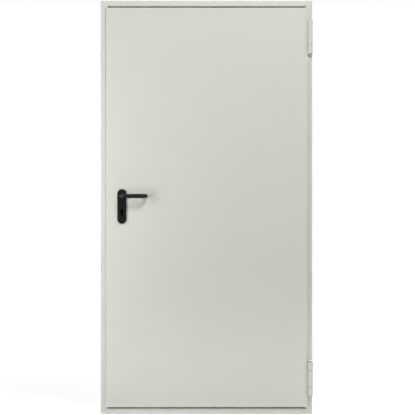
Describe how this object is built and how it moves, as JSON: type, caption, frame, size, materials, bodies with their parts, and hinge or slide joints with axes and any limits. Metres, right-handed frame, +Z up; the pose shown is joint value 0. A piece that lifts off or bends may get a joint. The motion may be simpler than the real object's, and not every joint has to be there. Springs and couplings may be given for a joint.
{
  "type": "steel utility door",
  "caption": "Plain double-skinned steel door leaf with lapped sides, hung on knuckle hinges in a four-sided folded steel frame, with lever handles and a cylinder lock.",
  "frame": {"origin": "underside of the threshold at floor level, midway between the jambs, in the plane of the wall's face", "axes": "+X along the wall towards the hinges, +Y into the wall, away from the side the leaf opens to, +Z up"},
  "size_m": [1.0317, 0.166, 2.01],
  "materials": {
    "leaf_paint": "grey-white satin powder coat",
    "frame_paint": "grey-white satin powder coat",
    "hinge_paint": "grey-white satin powder coat over welds",
    "handle_nylon": "black moulded nylon, satin",
    "zinc_steel": "zinc plated",
    "pin_steel": "turned, oiled",
    "seal_rubber": "matt extruded"
  },
  "bodies": {
    "frame": {"lock_jamb": "frame_paint", "hinge_jamb": "frame_paint", "frame_head": "frame_paint", "threshold": "frame_paint", "lock_jamb_seal": "seal_rubber", "hinge_jamb_seal": "seal_rubber", "head_seal": "seal_rubber", "threshold_seal": "seal_rubber", "top_hinge_frame_knuckles": "hinge_paint", "top_hinge_bearing_rings": "pin_steel", "top_hinge_pin": "pin_steel", "top_hinge_cap": "hinge_paint", "bottom_hinge_frame_knuckles": "hinge_paint", "bottom_hinge_bearing_rings": "pin_steel", "bottom_hinge_pin": "pin_steel", "bottom_hinge_cap": "hinge_paint", "bottom_hinge_spring_ring": "zinc_steel", "bottom_hinge_spacer": "pin_steel"},
    "leaf": {"leaf_front_skin": "leaf_paint", "leaf_back_skin": "leaf_paint", "leaf_lock_stile": "leaf_paint", "leaf_hinge_stile": "leaf_paint", "leaf_top_rail": "leaf_paint", "leaf_bottom_rail": "leaf_paint", "top_hinge_leaf_knuckle": "hinge_paint", "bottom_hinge_leaf_knuckle": "hinge_paint", "lock_forend": "zinc_steel", "lock_body": "zinc_steel", "lock_latch": "zinc_steel", "lock_dead_bolt": "zinc_steel", "outside_handle_plate": "handle_nylon", "inside_handle_plate": "handle_nylon"},
    "lever": {"outside_lever": "handle_nylon", "inside_lever": "handle_nylon", "lever_spindle": "zinc_steel"}
  },
  "joints": [
    {"name": "leaf_swing", "type": "hinge", "parent": "frame", "child": "leaf", "pos_m": [0.5047, -0.03, 0], "axis": [0, 0, 1], "range_deg": [0, 175], "stiffness_Nm_per_rad": 4, "springref_deg": -57.3},
    {"name": "lever_turn", "type": "hinge", "parent": "leaf", "child": "lever", "pos_m": [-0.4115, 0, 1.06], "axis": [0, 1, 0], "range_deg": [0, 40], "stiffness_Nm_per_rad": 1, "springref_deg": -34.38}
  ]
}
